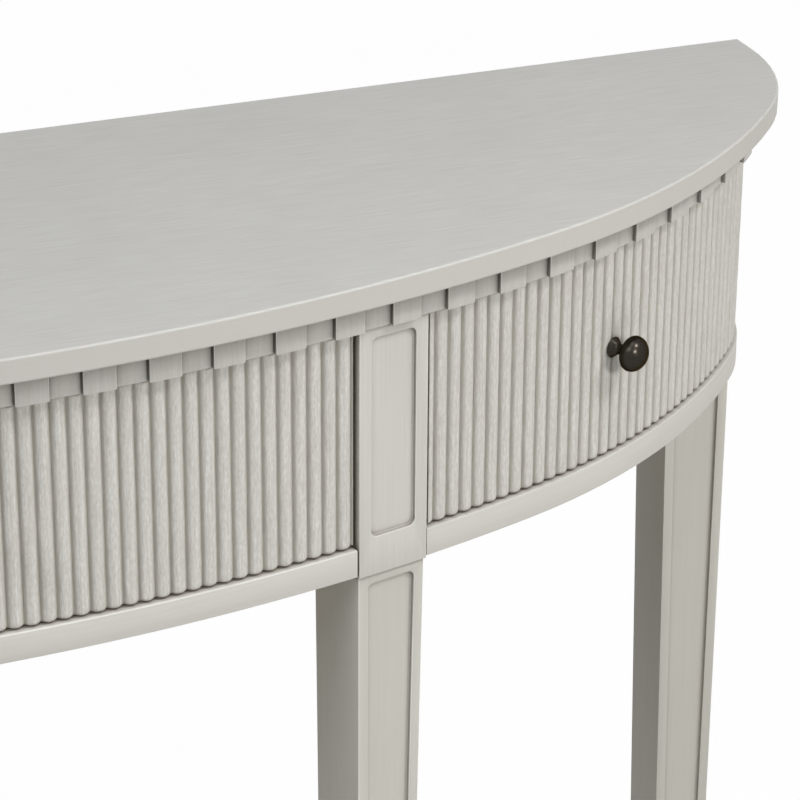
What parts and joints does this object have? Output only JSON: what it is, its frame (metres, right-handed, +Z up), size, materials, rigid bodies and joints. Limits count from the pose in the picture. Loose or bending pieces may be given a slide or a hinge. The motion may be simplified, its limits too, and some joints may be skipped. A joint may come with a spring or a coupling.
{
  "type": "demilune console table",
  "caption": "Half-round console table on tapered legs, with a dentil moulding under the top and bowed, reeded drawers with dark knobs between panelled posts.",
  "frame": {"origin": "on the floor, under the middle of the box round the whole table", "axes": "+Z up, the front of the table faces -Y and its back edge faces +Y, +X to the right seen from the front"},
  "size_m": [1.524, 0.412, 0.813],
  "materials": {
    "whitewashed_wood": "off-white wash brushed over grained wood, satin",
    "bare_poplar": "bare sanded wood",
    "dark_bronze": "dark oil-rubbed bronze, satin",
    "zinc_steel": "zinc plated",
    "nylon": "moulded"
  },
  "bodies": {
    "carcase": {"back_ledger": "bare_poplar", "back_leg_left": "whitewashed_wood", "back_leg_right": "whitewashed_wood", "back_panel": "whitewashed_wood", "back_post_left": "bare_poplar", "back_post_right": "bare_poplar", "back_top_cleat_left": "bare_poplar", "back_top_cleat_right": "bare_poplar", "centre_runner_left": "bare_poplar", "centre_runner_right": "bare_poplar", "dentil_blocks": "whitewashed_wood", "end_panel_left": "whitewashed_wood", "end_panel_right": "whitewashed_wood", "front_leg_left": "whitewashed_wood", "front_leg_right": "whitewashed_wood", "front_post_left": "whitewashed_wood", "front_post_right": "whitewashed_wood", "left_runner_inner": "bare_poplar", "left_runner_outer": "bare_poplar", "leg_bolts": "zinc_steel", "leg_glides": "nylon", "lower_rail_centre": "whitewashed_wood", "lower_rail_left": "whitewashed_wood", "lower_rail_right": "whitewashed_wood", "partition_left": "bare_poplar", "partition_right": "bare_poplar", "partition_top_cleat_left": "bare_poplar", "partition_top_cleat_right": "bare_poplar", "right_runner_inner": "bare_poplar", "right_runner_outer": "bare_poplar", "table_top": "whitewashed_wood", "top_screws": "zinc_steel", "upper_rail": "whitewashed_wood"},
    "centre_drawer": {"centre_drawer_back": "bare_poplar", "centre_drawer_bottom": "bare_poplar", "centre_drawer_front": "whitewashed_wood", "centre_drawer_side_left": "bare_poplar", "centre_drawer_side_right": "bare_poplar", "centre_knob": "dark_bronze", "centre_knob_screw": "zinc_steel"},
    "left_drawer": {"left_drawer_back": "bare_poplar", "left_drawer_bottom": "bare_poplar", "left_drawer_front": "whitewashed_wood", "left_drawer_side_inner": "bare_poplar", "left_drawer_side_outer": "bare_poplar", "left_knob": "dark_bronze", "left_knob_screw": "zinc_steel"},
    "right_drawer": {"right_drawer_back": "bare_poplar", "right_drawer_bottom": "bare_poplar", "right_drawer_front": "whitewashed_wood", "right_drawer_side_inner": "bare_poplar", "right_drawer_side_outer": "bare_poplar", "right_knob": "dark_bronze", "right_knob_screw": "zinc_steel"}
  },
  "joints": [
    {"name": "centre_drawer_slide", "type": "slide", "parent": "carcase", "child": "centre_drawer", "axis": [0, -1, 0], "range_m": [0, 0.22]},
    {"name": "right_drawer_slide", "type": "slide", "parent": "carcase", "child": "right_drawer", "axis": [0, -1, 0], "range_m": [0, 0.18]},
    {"name": "left_drawer_slide", "type": "slide", "parent": "carcase", "child": "left_drawer", "axis": [0, -1, 0], "range_m": [0, 0.18]}
  ]
}
